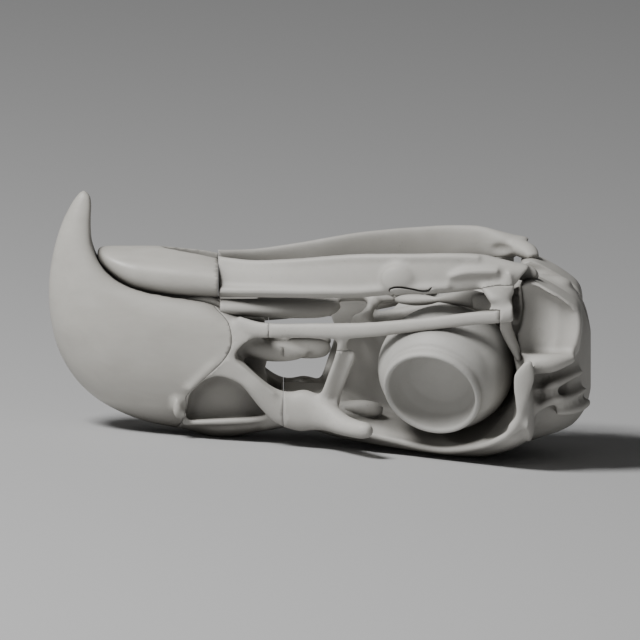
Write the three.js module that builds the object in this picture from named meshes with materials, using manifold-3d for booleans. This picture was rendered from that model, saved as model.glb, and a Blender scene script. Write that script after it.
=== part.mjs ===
// Skull of a large sea eagle with its horn beak sheaths and eye rings, lying on its roof as it rests
// on a table. Millimetres, +Z up. The beak points along -X and the skull is the same on both sides of
// the plane y = 0, so every bone named _right lies at -Y and has a mirrored twin at +Y.
//
// The bones are first placed in the skull's own frame, where the jugal bars run about level, and the
// whole skull is then tipped onto the two places where its roof meets the table.
import * as THREE from "three";
import { mergeVertices } from "three/addons/utils/BufferGeometryUtils.js";
import Module from "manifold-3d";

const wasm = await Module();
wasm.setup();

// ---- driving dimensions, in millimetres and degrees ----
const GAP = 0.3; // clearance between two bones that meet
const SEPTUM = 1.1; // half thickness of the plate between the eyes
const NASAL_WALL = 5.5; // half thickness of the filled wall between the nostrils
const VOMER = 0.6; // half thickness of the upright plate between the palatines
const REST_TILT = -3.8; // how far the jugal bars lean from level when the skull lies on its roof
const REST_LIFT = -0.96; // from the skull's own zero level to the table, with small flats worn on the roof
const LENGTH_SHIFT = 1.6; // centres the skull over the origin
const EYE = { centre: [29.3, -15.6, 20.5], radii: [15.9, 13.6, 14.8] };
const IRIS_CENTRE = [26.1, -24.3, 15.9];
const IRIS_AXIS = [-0.2575, -0.833, -0.489]; // the way the eye looks
const EYE_SIDES = 12; // facets round the eye
const SOCKET_ROOM = 1.2; // between the eye and the walls of its socket
const NASAL_SUTURE_X = -8.2; // between the nasal bone and the lacrimal
const JUGAL_FRONT_X = -11.6;
const JAW_JOINT_Z = 40.8; // the quadrate lies below it and the jaw above
const LOWER_SHEATH_X = -23.3; // rear end of the horn on the lower jaw

const BONE = new THREE.MeshStandardMaterial({ color: 0xcfcabc, roughness: 0.7, metalness: 0 });
const HORN = new THREE.MeshStandardMaterial({ color: 0xb9b4a8, roughness: 0.45, metalness: 0 });
const SCLERA = new THREE.MeshStandardMaterial({ color: 0xd6d2c6, roughness: 0.6, metalness: 0 });

// ---- solids ----
const point = (p) => new THREE.Vector3(...p);

// A three.js geometry as a manifold-3d solid, whichever way round its faces are.
function solid(geometry) {
  const bare = new THREE.BufferGeometry();
  bare.setAttribute("position", geometry.getAttribute("position"));
  bare.setIndex(geometry.index);
  const merged = mergeVertices(bare, 1e-3);
  const place = merged.getAttribute("position");
  const faces = new Uint32Array(merged.index.array);
  const [a, b, c] = [new THREE.Vector3(), new THREE.Vector3(), new THREE.Vector3()];
  let volume = 0;
  for (let i = 0; i < faces.length; i += 3) {
    [a, b, c].forEach((v, k) => v.fromBufferAttribute(place, faces[i + k]));
    volume += a.dot(b.cross(c));
  }
  if (volume < 0) faces.reverse();
  return new wasm.Manifold(new wasm.Mesh({ numProp: 3, vertProperties: place.array, triVerts: faces }));
}

// A closed solid through rings. Each ring has a centre and two half axes; the section between them is
// an ellipse, squared off by the powers upper and lower; egg widens its upper half, lift heightens it.
function loft(rings, { sides = 12, upper = 1, lower = 1, egg = 0, lift = 1 } = {}) {
  const [centre, across, deep] = ["centre", "across", "deep"].map(
    (key) => new THREE.CatmullRomCurve3(rings.map((ring) => ring[key]), false, "catmullrom", 0.5),
  );
  const tube = new THREE.CylinderGeometry(1, 1, 1, sides, rings.length - 1);
  const place = tube.getAttribute("position");
  for (let i = 0; i < place.count; i++) {
    const along = place.getY(i) + 0.5;
    const reach = Math.hypot(place.getX(i), place.getZ(i));
    const angle = Math.atan2(place.getZ(i), place.getX(i));
    const high = Math.sin(angle);
    const power = high > 0 ? upper : lower;
    const wide = Math.sign(Math.cos(angle)) * Math.abs(Math.cos(angle)) ** power;
    const at = centre.getPoint(along);
    at.addScaledVector(across.getPoint(along), reach * wide * (1 + egg * high));
    at.addScaledVector(deep.getPoint(along), reach * (high > 0 ? high * lift : high));
    place.setXYZ(i, at.x, at.y, at.z);
  }
  return solid(tube);
}

// A limb along a path. A station is [x, y, z, half width, half height], with the width across the
// path and level.
function limb(stations, options) {
  const path = stations.map((s) => point(s.slice(0, 3)));
  const rings = stations.map(([, , , width, height], i) => {
    const from = path[Math.max(i - 1, 0)];
    const to = path[Math.min(i + 1, path.length - 1)];
    const ahead = to.clone().sub(from).normalize();
    const steep = Math.abs(ahead.z) > 0.9;
    const side = point(steep ? [1, 0, 0] : [0, 0, 1]).cross(ahead).normalize();
    if (steep) side.crossVectors(ahead, side).normalize();
    const up = ahead.clone().cross(side).normalize();
    return { centre: path[i], across: side.multiplyScalar(width), deep: up.multiplyScalar(height) };
  });
  return loft(rings, options);
}

// A body along X whose sections stand upright. A station is [x, low z, high z, half width].
function hullAlongX(stations, options) {
  const rings = stations.map(([x, low, high, width]) => ({
    centre: point([x, 0, (low + high) / 2]),
    across: point([0, width, 0]),
    deep: point([0, 0, (high - low) / 2]),
  }));
  return loft(rings, options);
}

// An ellipsoid, turned about Z and then leaned about X, in degrees.
function ball(centre, radii, { turn = 0, lean = 0, detail = 7 } = {}) {
  const shape = new THREE.SphereGeometry(1, detail, Math.round(detail * 0.7));
  shape.scale(...radii);
  shape.rotateX(THREE.MathUtils.degToRad(lean));
  shape.rotateZ(THREE.MathUtils.degToRad(turn));
  shape.translate(...centre);
  return solid(shape);
}

// A prism between two values of y, from a closed outline of [x, z] points.
function windowThrough(outline, fromY, toY) {
  const shape = new THREE.Shape(outline.map(([x, z]) => new THREE.Vector2(x, z)));
  const prism = new THREE.ExtrudeGeometry(shape, { depth: toY - fromY, bevelEnabled: false });
  prism.rotateX(Math.PI / 2).translate(0, toY, 0);
  return solid(prism);
}

function box(low, high) {
  const size = high.map((v, i) => v - low[i]);
  const middle = high.map((v, i) => (v + low[i]) / 2);
  return solid(new THREE.BoxGeometry(...size).translate(...middle));
}

const join = (...parts) => parts.reduce((a, b) => a.add(b));
const cut = (body, ...tools) => tools.reduce((a, b) => a.subtract(b), body);
const moved = (body, matrix) => solid(geometryOf(body).applyMatrix4(matrix));
const mirrored = (body) => moved(body, new THREE.Matrix4().makeScale(1, -1, 1));
const bothSides = (body) => body.add(mirrored(body));

function geometryOf(body) {
  const { vertProperties, triVerts } = body.getMesh();
  const geometry = new THREE.BufferGeometry();
  geometry.setAttribute("position", new THREE.BufferAttribute(vertProperties, 3));
  geometry.setIndex(new THREE.BufferAttribute(triVerts, 1));
  return geometry;
}

// What is left of a body once a neighbour and the clearance round it are taken away.
function clearOf(body, ...neighbours) {
  let left = body;
  for (const n of neighbours)
    for (const axis of [0, 1, 2])
      for (const way of [-GAP, GAP])
        left = left.subtract(moved(n, new THREE.Matrix4().makeTranslation(
          ...[0, 1, 2].map((k) => (k === axis ? way : 0)))));
  return left;
}

// The largest piece of a body, where a cut has left small scraps.
function largest(body) {
  return body.decompose().sort((a, b) => b.volume() - a.volume())[0];
}

// ---- upper beak and face ----
// Ribs of the muzzle from the hook's point back to the brow. Each is [edge x, edge z, ridge x, ridge z,
// half width]: the edge bites, the ridge is the culmen, the beak's outer line.
const MUZZLE_RIBS = [
  [-54.2, 59.7, -54.4, 59.6, 0.25],
  [-52.9, 58.4, -55.5, 58.8, 1.3],
  [-52.5, 56.3, -57.1, 56.5, 2.1],
  [-52.6, 53.8, -59.3, 52.0, 3.0],
  [-52.6, 50.6, -61.2, 45.6, 4.1],
  [-52.3, 47.6, -62.3, 38.2, 5.3],
  [-51.2, 44.6, -62.0, 30.3, 6.8],
  [-49.4, 42.2, -60.2, 22.8, 8.2],
  [-46.8, 40.3, -56.8, 16.6, 9.4],
  [-43.1, 38.9, -52.2, 11.8, 10.5],
  [-38.5, 37.9, -46.4, 8.3, 11.3],
  [-32.5, 37.0, -39.4, 5.7, 12.0],
  [-26.3, 36.0, -30.5, 3.9, 12.6],
  [-22.4, 34.4, -24.0, 2.1, 13.2],
  [-18.2, 32.2, -18.2, 2.5, 14.0],
  [-14.0, 30.9, -14.0, 3.4, 14.6],
  [-3.0, 31.0, -3.0, 5.2, 16.4],
];

function ribLoft(ribs, options) {
  const rings = ribs.map(([edgeX, edgeZ, ridgeX, ridgeZ, width]) => {
    const edge = point([edgeX, 0, edgeZ]);
    const ridge = point([ridgeX, 0, ridgeZ]);
    return {
      centre: edge.clone().add(ridge).multiplyScalar(0.5),
      across: point([0, width, 0]),
      deep: edge.clone().sub(ridge).multiplyScalar(0.5),
    };
  });
  return loft(rings, options);
}
const muzzle = ribLoft(MUZZLE_RIBS, { sides: 16, upper: 0.42, lower: 0.9, egg: 0.14 });

// The hollow that the lower jaw closes into, [x, low z, high z, half width].
const mouth = hullAlongX(
  [
    [-51.6, 42.4, 52, 3.0],
    [-49.5, 40.2, 52, 5.4],
    [-46.0, 37.6, 52, 7.8],
    [-41.0, 35.4, 52, 9.4],
    [-34.0, 34.0, 52, 10.4],
    [-26.3, 33.2, 52, 11.2],
    [-21.0, 31.6, 52, 12.2],
    [-14.0, 30.0, 52, 12.9],
    [-2.0, 29.6, 52, 13.8],
  ],
  { sides: 12, upper: 0.4, lower: 0.4 },
);

// The slanted line where the horn sheath stops, seen from the side, as a wall of points behind it.
const SHEATH_BACK = [
  [-34.2, 0], [-31.9, 6], [-30.7, 10], [-30.4, 13.4], [-27.4, 16.6], [-22.3, 21.5],
  [-20.2, 25.5], [-21.0, 30.5], [-24.5, 34.5], [-25.5, 40],
];
const behindSheath = (shift) => {
  const wall = SHEATH_BACK.map(([x, z]) => [x + shift, z]);
  return windowThrough([...wall, [20, 44], [20, -6], [-20, -6]], -20, 20);
};

const NOSTRIL = [
  [-31.4, 6.2], [-30.6, 9.8], [-29.8, 13.4], [-27.6, 16.2], [-25.1, 17.6], [-23.1, 18.0],
  [-20.5, 17.4], [-17.6, 15.9], [-15.1, 13.8], [-13.1, 11.7], [-11.6, 9.4], [-11.2, 7.2],
  [-14.5, 6.0], [-21.0, 5.4], [-27.0, 5.6],
];
const nostril = windowThrough(NOSTRIL, -24, -NASAL_WALL);

// The window between nostril and eye. It runs straight through behind the nasal septum.
const ANTORBITAL = [
  [-19.4, 22.4], [-18.2, 24.8], [-15.9, 26.5], [-13.1, 27.3], [-6, 27.4], [6, 27.2], [8, 20], [6, 12],
  [-2, 12.5], [-7.0, 13.6], [-10.1, 14.3], [-13.1, 16.7], [-16.4, 19.6],
];
const antorbitalSide = windowThrough(ANTORBITAL, -24, -4.5);
const antorbitalThrough = windowThrough(
  [[-12.2, 16.5], [-11.6, 20.2], [-4, 20.8], [4, 20.8], [6, 12], [-2, 11.5], [-7, 12], [-10.4, 13.4]],
  -6, 6,
);
const behindFace = [box([-10.8, -30, -5], [20, 30, 24]), box([JUGAL_FRONT_X, -30, 24], [20, 30, 60])];
const underNasal = box([-9.8, -9.3, 8.6], [10, 9.3, 30]);

// The ledge below the nostril, and the fold and the swellings where the horn ends in front of it.
const nostrilLedge = limb(
  [
    [-31.4, -7.2, 6.4, 0.9, 0.7], [-27, -8.3, 6.7, 1.2, 0.8], [-22, -8.6, 6.9, 1.3, 0.85],
    [-16.5, -8.7, 7.2, 1.2, 0.85], [-11.6, -8.9, 7.9, 1.0, 0.8],
  ],
  { sides: 5 },
);
const hornEnd = join(
  limb(
    [
      [-30.2, -11.2, 14.6, 0.9, 0.9], [-26.7, -12.0, 18.3, 1.1, 1.1], [-24.0, -12.5, 20.8, 1.2, 1.2],
      [-21.2, -12.7, 23.2, 0.9, 0.9],
    ],
    { sides: 5 },
  ),
  ball([-32.6, -10.0, 10.4], [1.2, 1.6, 2.7], { turn: -12 }),
);
const snout = join(
  cut(
    muzzle, mouth, bothSides(nostril), bothSides(antorbitalSide), antorbitalThrough,
    ...behindFace, underNasal,
  ),
  bothSides(nostrilLedge),
  bothSides(hornEnd),
);
const upperBeak = largest(cut(snout, behindSheath(0)));

// Two leaves of the palate, one behind the other, that show in the window.
const palateLeaves = join(
  limb(
    [
      [-19.2, -7.5, 25.1, 2.4, 2.0], [-16.5, -7.5, 24.3, 2.3, 2.1], [-12, -7.7, 23.3, 2.2, 2.5],
      [-7, -8.0, 23.2, 1.9, 2.4], [-3.8, -8.2, 22.9, 1.0, 1.4], [-2.3, -8.2, 22.8, 0.4, 0.4],
    ],
    { sides: 6 },
  ),
  limb(
    [
      [-7, -5.9, 23.8, 1.8, 2.3], [-2, -6.0, 23.6, 1.8, 2.5], [1.2, -6.1, 23.7, 1.4, 2.1],
      [2.8, -6.2, 24.1, 0.5, 0.9],
    ],
    { sides: 6 },
  ),
);
const nasalRoof = hullAlongX(
  [[-14, 3.4, 9.4, 8.4], [-10.8, 4.5, 11.4, 9.6], [-8.4, 4.8, 12.2, 9.4]],
  { sides: 12, lower: 0.8 },
);

// The brow runs from the strut behind the nostril to the spur over the eye. The suture between the
// nasal bone and the lacrimal crosses it.
const brow = limb(
  [
    [-20.5, -11.2, 21.6, 1.8, 2.0], [-15.6, -12.4, 16.6, 2.2, 2.2], [-12.0, -11.9, 13.0, 2.4, 2.9],
    [-8.4, -11.6, 10.6, 2.4, 4.0], [-4.2, -11.9, 9.9, 2.4, 4.9], [-0.6, -12.6, 9.6, 2.5, 4.3],
    [2.6, -14.4, 8.6, 2.6, 3.3], [5.4, -17.4, 7.4, 2.5, 2.5], [8.6, -21.2, 6.9, 2.3, 2.1],
    [10.6, -23.6, 6.9, 2.1, 2.0], [11.9, -24.9, 6.9, 1.1, 1.2],
  ],
  { sides: 6 },
);
const browFront = cut(brow, box([NASAL_SUTURE_X - GAP / 2, -40, -5], [40, 0, 40]));
const face = largest(
  join(snout.intersect(behindSheath(GAP)), nasalRoof, bothSides(palateLeaves), bothSides(browFront)),
);

// ---- lacrimal: the bone in front of the eye, with its brow spur and the pillar down to the jugal ----
const lacrimal = join(
  cut(brow, box([-40, -40, -5], [NASAL_SUTURE_X + GAP / 2, 0, 40])),
  limb(
    [
      [0.2, -12.6, 11.0, 1.4, 1.2], [1.6, -13.8, 14.6, 1.05, 0.95], [3.3, -15.8, 19.6, 0.95, 0.9],
      [4.9, -17.8, 24.4, 1.1, 0.95], [5.8, -19.2, 28.6, 1.3, 1.0],
    ],
    { sides: 5 },
  ),
  limb(
    [
      [3.6, -12.4, 11.4, 1.3, 1.1], [4.6, -13.6, 14.8, 0.9, 0.9], [6.3, -15.6, 19.4, 0.85, 0.85],
      [7.7, -17.5, 23.2, 0.9, 0.85], [7.8, -18.0, 24.8, 0.5, 0.5],
    ],
    { sides: 5 },
  ),
  limb([[2.2, -12.8, 12.0, 1.4, 0.8], [6.3, -17.4, 24.2, 1.2, 0.5]], { sides: 4 }),
);

// ---- jugal bar, from the face back to the quadrate ----
const jugal = limb(
  [
    [-14.2, -13.6, 28.9, 1.1, 1.9], [-9, -15.2, 29.0, 1.1, 1.8], [-4.4, -16.3, 29.2, 1.1, 1.8],
    [4.8, -19.3, 29.5, 1.15, 2.0], [9.5, -20.9, 29.9, 1.15, 1.9], [14.1, -22.4, 30.4, 1.1, 1.85],
    [18.7, -23.8, 31.1, 1.1, 1.75], [25.6, -25.8, 32.1, 1.05, 1.65], [30.2, -26.7, 32.8, 1.05, 1.65],
    [36.0, -27.4, 33.6, 1.1, 1.65], [41.6, -27.9, 34.1, 1.2, 1.6],
  ],
  { sides: 8 },
).subtract(box([-20, -30, 20], [JUGAL_FRONT_X + GAP, 0, 40]));

// ---- cranium: forehead, plate between the eyes, braincase and ear wings, fused in the adult ----
// Sections of the forehead, [x, roof z, rim z, half width]: the rim is where it is widest.
const FOREHEAD = [
  [-7.0, 5.0, 8.2, 9.2], [-3.0, 4.4, 8.0, 9.2], [2.0, 3.1, 7.0, 10.6], [7.0, 1.8, 5.4, 11.6],
  [12.0, 1.1, 4.0, 12.8], [18.7, 0.0, 2.7, 13.8], [24.4, -0.7, 1.9, 15.4], [30.2, -1.4, 1.8, 17.6],
  [37.1, -1.5, 3.2, 21.4], [42.0, -0.5, 5.2, 24.6], [46.0, 1.0, 7.6, 26.0], [49.0, 3.0, 9.0, 23.0],
];
const forehead = loft(
  FOREHEAD.map(([x, roof, rim, width]) => ({
    centre: point([x, 0, rim]), across: point([0, width, 0]), deep: point([0, 0, rim - roof]),
  })),
  { sides: 12, upper: 1.6, lower: 0.85, lift: 1.9 },
);
// Sections of the braincase behind the eyes.
const braincase = hullAlongX(
  [
    [34.0, 3.0, 24.0, 9.0], [38.0, -1.0, 31.0, 14.5], [42.0, -0.6, 36.0, 19.0], [46.4, 0.8, 39.0, 22.0],
    [51.0, 2.4, 39.8, 22.6], [55.6, 3.9, 38.6, 20.8], [59.0, 5.8, 36.4, 17.0], [61.6, 9.4, 32.4, 11.6],
    [62.7, 13.5, 27.0, 6.0],
  ],
  { sides: 12, upper: 0.85, lower: 0.85 },
);
const septum = windowThrough(
  [[4.5, 9], [4.8, 18], [4.4, 23], [8, 26], [14, 30], [20, 31.4], [38, 34], [44, 32], [44, 10], [24, 6]],
  -SEPTUM, SEPTUM,
);
const vomer = windowThrough(
  [[3.0, 29.4], [2.6, 34.2], [4.4, 35.6], [12.0, 35.4], [12.8, 32.0], [11.6, 27.4], [6.0, 25.6]],
  -VOMER, VOMER,
);
const rostrum = limb(
  [
    [4.4, 0, 23.4, 1.2, 1.4], [8, 0, 25.6, 1.7, 2.0], [13, 0, 29.0, 1.7, 1.9], [20, 0, 30.8, 1.7, 1.8],
    [34, 0, 34.0, 2.4, 1.8], [44, 0, 38.4, 6.5, 2.4],
  ],
  { sides: 6 },
);
const foreheadLobe = limb(
  [
    [2.6, -5.6, 9.4, 0.6, 0.9], [5.5, -6.4, 9.7, 1.9, 1.6], [9.5, -7.0, 9.7, 2.3, 2.0],
    [13.0, -7.2, 9.5, 1.9, 1.7], [14.7, -7.2, 9.3, 0.7, 0.7],
  ],
  { sides: 6 },
);

// The rim over the eye ends in a blade behind it, the postorbital process, which grows from a wall.
const RIM = [
  [10.6, -12.8, 4.6], [15.2, -13.3, 3.6], [18.7, -13.9, 2.9], [24.4, -15.5, 1.8], [30.2, -17.8, 1.5],
  [37.1, -21.6, 2.9], [41.7, -25.0, 5.0], [44.6, -27.2, 7.4], [46.2, -28.4, 10.6],
];
const RIM_RADIUS = 1.0;
const postorbital = join(
  limb(RIM.map((place) => [...place, RIM_RADIUS, RIM_RADIUS]), { sides: 5 }),
  limb(
    [
      [44.8, -26.6, 7.6, 1.6, 1.6], [46.3, -28.2, 10.4, 1.2, 1.2], [46.7, -28.9, 13.4, 1.4, 0.95],
      [46.9, -29.3, 17.0, 2.1, 0.9], [47.4, -29.7, 20.2, 2.5, 0.95], [48.2, -30.1, 22.8, 1.5, 0.85],
      [48.7, -30.3, 24.2, 0.6, 0.6],
    ],
    { sides: 6 },
  ),
  limb(
    [[48.4, -17, 12, 1.8, 9.0], [48.4, -23, 13.4, 1.2, 7.6], [47.9, -28.2, 14.2, 0.8, 6.4]],
    { sides: 6 },
  ),
);

// The ear wing is a cup that opens forwards and outwards, with a shelf below it.
const EAR_OUTLINE = [
  [46.6, 40.6], [49.2, 41.6], [53.0, 39.9], [56.5, 37.8], [59.8, 35.2], [60.8, 32.0], [60.5, 28.4],
  [59.6, 24.6], [56.0, 22.6], [50.0, 21.8], [46.0, 26.0], [45.8, 36.0],
];
const EAR_MOUTH = [
  [44.0, 40.2], [48.8, 40.9], [53.0, 38.9], [56.4, 36.9], [59.0, 34.2], [59.8, 31.4], [59.4, 28.2],
  [58.5, 25.2], [50.0, 24.9], [46.0, 25.6], [43.0, 30.0],
];
const earWing = windowThrough(EAR_OUTLINE, -26, -12).intersect(
  ball([50.6, -14.0, 31.0], [13.8, 12.6, 15.2], { detail: 10 }),
);
const earRoom = join(
  ball([50.4, -26.6, 32.0], [8.2, 6.4, 11.4], { detail: 8 }),
  ball([55.2, -27.4, 31.4], [6.2, 6.0, 11.6], { detail: 8 }),
  ball([45.2, -21.0, 35.5], [1.9, 9.0, 6.4]),
).intersect(windowThrough(EAR_MOUTH, -40, -10));
const earShelf = limb(
  [
    [47.6, -24.2, 21.6, 2.6, 1.4], [50.4, -24.9, 22.4, 2.6, 2.1], [54.0, -24.6, 22.8, 2.6, 2.1],
    [58.6, -22.6, 23.9, 1.8, 1.2],
  ],
  { sides: 6 },
);
const temporalHollow = join(
  ball([51.4, -26.4, 16.4], [3.6, 5.6, 5.6], { lean: 12 }),
  ball([57.4, -22.4, 16.4], [4.4, 4.0, 2.0], { turn: 24 }),
);
// Three ridges that run from the temple round to the nape.
const napeRidges = join(
  limb(
    [
      [50.8, -20.6, 15.2, 0.6, 0.6], [52.6, -22.4, 16.9, 1.1, 1.0], [54.6, -22.3, 17.7, 1.3, 1.2],
      [57.4, -19.6, 18.8, 1.2, 1.0], [60.4, -15.6, 19.6, 0.9, 0.8],
    ],
    { sides: 4 },
  ),
  limb(
    [
      [49.4, -21.8, 10.8, 0.8, 0.7], [52.4, -22.2, 13.2, 1.1, 1.0], [55.6, -21.6, 13.8, 1.4, 1.0],
      [58.4, -18.8, 14.4, 1.2, 0.8], [61.4, -14.4, 15.4, 0.8, 0.6],
    ],
    { sides: 4 },
  ),
  limb(
    [
      [54.6, -20.8, 10.8, 0.9, 0.7], [57.4, -19.2, 11.0, 1.6, 1.1], [60.0, -16.2, 11.4, 1.6, 1.2],
      [61.9, -12.0, 12.0, 1.1, 1.0],
    ],
    { sides: 4 },
  ),
);
const skullBase = join(
  ball([54.2, 0, 37.6], [4.2, 5.4, 1.9]),
  ball([57.0, 0, 36.4], [1.9, 1.9, 1.7]),
);
// The wing of the skull base walls the ear off in front.
const baseWing = limb(
  [[44.0, -2, 35.6, 1.2, 3.0], [43.6, -10, 36.6, 1.0, 3.2], [43.3, -17.4, 37.4, 0.9, 2.6]],
  { sides: 6 },
);
const spineHole = ball([62.6, 0, 31.6], [4.4, 4.4, 4.0]);
const eyeRoom = (grow, detail = 8) => ball(EYE.centre, EYE.radii.map((r) => r + grow), { detail });
const socket = join(
  eyeRoom(SOCKET_ROOM),
  ball([35.0, -24.0, 14.4], [10.6, 14.0, 10.6], { detail: 8 }),
);

let cranium = join(forehead, braincase, bothSides(earWing));
cranium = cut(cranium, bothSides(earRoom), bothSides(temporalHollow), spineHole);
cranium = join(cranium, skullBase, bothSides(baseWing), bothSides(earShelf), bothSides(napeRidges));
cranium = cut(cranium, bothSides(socket));
cranium = join(cranium, septum, rostrum, vomer, bothSides(foreheadLobe), bothSides(postorbital));
cranium = largest(cut(cranium, bothSides(eyeRoom(GAP, EYE_SIDES))));

// ---- eye: a bulging capsule of bone plates with a raised ring round the iris ----
// A turned solid from [radius, height above the iris] pairs.
function alongEyeAxis(profile) {
  const shape = new THREE.LatheGeometry(profile.map(([r, h]) => new THREE.Vector2(r, h)), EYE_SIDES);
  const turn = new THREE.Quaternion().setFromUnitVectors(point([0, 1, 0]), point(IRIS_AXIS).normalize());
  return solid(shape.applyQuaternion(turn).translate(...IRIS_CENTRE));
}
const lip = alongEyeAxis(
  [[0, -9], [13.8, -6.6], [12.4, -2.6], [11.7, -1.7], [11.7, 0.2], [10.9, 0.9], [0, 0.9]],
);
const bowl = alongEyeAxis(
  [[0, -8.0], [4.0, -7.6], [7.2, -6.2], [9.2, -3.9], [10.1, -1.6], [10.6, 9], [0, 9]],
);
const eye = cut(join(eyeRoom(0, EYE_SIDES), lip), bowl);

// ---- lower jaw ----
// Stations of one ramus: [x, [y, z] of the edge below the throat, [y, z] of the biting edge, thickness].
const RAMUS = [
  [-27.0, [5.2, 45.9], [9.3, 36.2], 2.6],
  [-22.8, [6.4, 45.0], [10.2, 35.9], 2.6],
  [-18.2, [8.8, 44.7], [12.0, 36.0], 2.6],
  [-13.6, [10.8, 44.7], [13.6, 36.2], 2.6],
  [-4.4, [14.0, 45.6], [16.0, 36.4], 2.6],
  [2.5, [16.4, 46.5], [18.0, 36.7], 2.7],
  [9.5, [19.0, 47.3], [20.2, 37.1], 2.7],
  [18.7, [22.2, 47.8], [23.0, 38.3], 2.8],
  [24.0, [23.4, 48.0], [24.2, 38.4], 2.8],
  [30.2, [24.3, 48.2], [25.0, 38.9], 2.9],
  [37.1, [24.8, 48.0], [25.6, 39.8], 3.6],
  [41.7, [25.0, 46.9], [25.6, 40.0], 5.0],
  [45.2, [25.2, 46.0], [25.4, 40.8], 5.6],
  [47.6, [25.2, 45.6], [24.8, 40.8], 5.2],
  [48.6, [24.8, 44.8], [24.6, 40.8], 4.6],
  [49.4, [24.6, 43.0], [24.4, 40.8], 4.0],
  [50.3, [24.0, 41.8], [24.0, 41.0], 2.0],
];
function ramusLoft(stations) {
  const rings = stations.map(([x, [throatY, throatZ], [biteY, biteZ], thickness], i) => {
    const throat = point([x, -throatY, throatZ]);
    const bite = point([x, -biteY, biteZ]);
    const before = stations[Math.max(i - 1, 0)];
    const after = stations[Math.min(i + 1, stations.length - 1)];
    const ahead = point([after[0] - before[0], before[2][0] - after[2][0], 0]).normalize();
    const deep = throat.clone().sub(bite).multiplyScalar(0.5);
    return {
      centre: throat.clone().add(bite).multiplyScalar(0.5).add(point([0, thickness / 2, 0])),
      across: ahead.clone().cross(deep).normalize().multiplyScalar(thickness / 2),
      deep,
    };
  });
  return loft(rings, { sides: 8, upper: 0.8, lower: 0.8 });
}
// The symphysis, where both rami meet in a deep spoon: [x, low z, high z, half width].
const SPOON = [
  [-51.1, 43.8, 45.6, 1.6],
  [-50.2, 42.4, 46.5, 3.6],
  [-47.6, 39.9, 46.7, 6.0],
  [-43.6, 37.4, 46.7, 7.9],
  [-39.0, 36.1, 46.7, 8.9],
  [-32.5, 35.2, 46.5, 9.9],
  [-26.3, 34.9, 46.1, 10.5],
  [-20.0, 34.8, 44.8, 11.4],
];
const spoon = hullAlongX(SPOON, { sides: 16, upper: 1.5, lower: 0.6, egg: -0.12 });
const throatSpace = hullAlongX(
  [
    [-36.0, 30, 60, 0.4], [-32.5, 30, 60, 2.0], [-27, 30, 60, 3.6], [-22.8, 30, 60, 4.6],
    [-14, 30, 60, 7.5],
  ],
  { sides: 12, upper: 0.4, lower: 0.4 },
);
const mouthFloor = hullAlongX(
  [
    [-47, 36, 41, 2.5], [-42, 34, 40.5, 5.4], [-33, 31, 39.8, 7.2], [-24, 30, 39.6, 8.2],
    [-14, 30, 39.6, 9.6],
  ],
  { sides: 12, upper: 0.8, lower: 0.4 },
);
const behindHorn = box([LOWER_SHEATH_X, -30, 20], [10, 30, 60]);
const lowerBeak = largest(cut(spoon, throatSpace, mouthFloor, behindHorn));
const coronoid = ball([18.4, -22.6, 42.0], [4.2, 1.6, 3.6], { turn: -6 });
const medialProcess = limb(
  [
    [44.4, -23.4, 43.4, 2.6, 2.2], [46.4, -20.4, 43.3, 2.7, 2.1], [48.4, -17.8, 42.6, 2.4, 1.8],
    [49.6, -15.6, 41.6, 1.4, 1.0],
  ],
  { sides: 6 },
);
const jawHollows = [
  ball([34.4, -28.8, 41.2], [6.0, 3.3, 2.3]),
  ball([40.7, -18.9, 43.0], [3.9, 2.3, 1.9]),
];
const behindJaw = windowThrough(
  [
    [48.4, 44.8], [46.6, 42.9], [45.4, 41.0], [44.7, 38.0], [44.7, 35.0], [45.0, 32.6], [46.6, 31.4],
    [60, 31.0], [60, 45.6],
  ],
  -40, -19.4,
);
const quadrateSpace = box([36.0, -40, 20], [60, -6, JAW_JOINT_Z + GAP / 2]);
const ramus = largest(
  cut(
    join(ramusLoft(RAMUS), coronoid, medialProcess), ...jawHollows, behindJaw, quadrateSpace,
    box([-60, -40, 20], [LOWER_SHEATH_X + GAP, 0, 60]),
  ),
);

// ---- quadrate, pterygoid and palatine: the linkage of the upper jaw ----
const quadrate = cut(
  join(
    limb(
      [
        [43.4, -24.2, 43.8, 2.2, 0.9], [41.3, -25.0, 40.0, 4.3, 1.6], [41.6, -25.5, 38.4, 3.4, 1.9],
        [42.3, -26.1, 37.0, 2.5, 2.0], [43.0, -26.8, 35.4, 2.0, 1.8], [43.2, -27.2, 33.7, 1.9, 1.3],
      ],
      { sides: 6 },
    ),
    limb(
      [
        [42.6, -24.8, 36.6, 2.2, 2.2], [42.8, -23.4, 32.0, 1.6, 1.6], [44.0, -22.4, 28.4, 1.4, 1.5],
        [45.4, -22.0, 25.4, 1.2, 1.4], [46.4, -22.2, 23.0, 0.8, 1.0],
      ],
      { sides: 6 },
    ),
    limb(
      [[43.0, -22.8, 36.6, 1.4, 2.2], [39.4, -20.9, 36.4, 0.9, 2.1], [35.4, -19.4, 36.3, 0.8, 1.9]],
      { sides: 6 },
    ),
  ),
  behindJaw,
  box([30, -40, JAW_JOINT_Z - GAP / 2], [60, 0, 60]),
);
// A swollen spindle in front, then a waist, then the flared end at the quadrate.
const pterygoid = limb(
  [
    [17.4, -4.2, 34.6, 0.5, 0.5], [19.4, -5.6, 34.9, 1.4, 1.1], [22.4, -7.8, 35.1, 1.7, 1.35],
    [25.4, -10.2, 35.4, 1.2, 1.1], [27.4, -11.8, 35.7, 0.7, 0.8], [29.4, -13.4, 36.1, 1.1, 1.1],
    [32.6, -15.8, 36.5, 1.3, 1.7], [35.4, -17.6, 36.8, 1.1, 2.1], [38.4, -19.2, 37.0, 0.8, 1.4],
  ],
  { sides: 6 },
);
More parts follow.
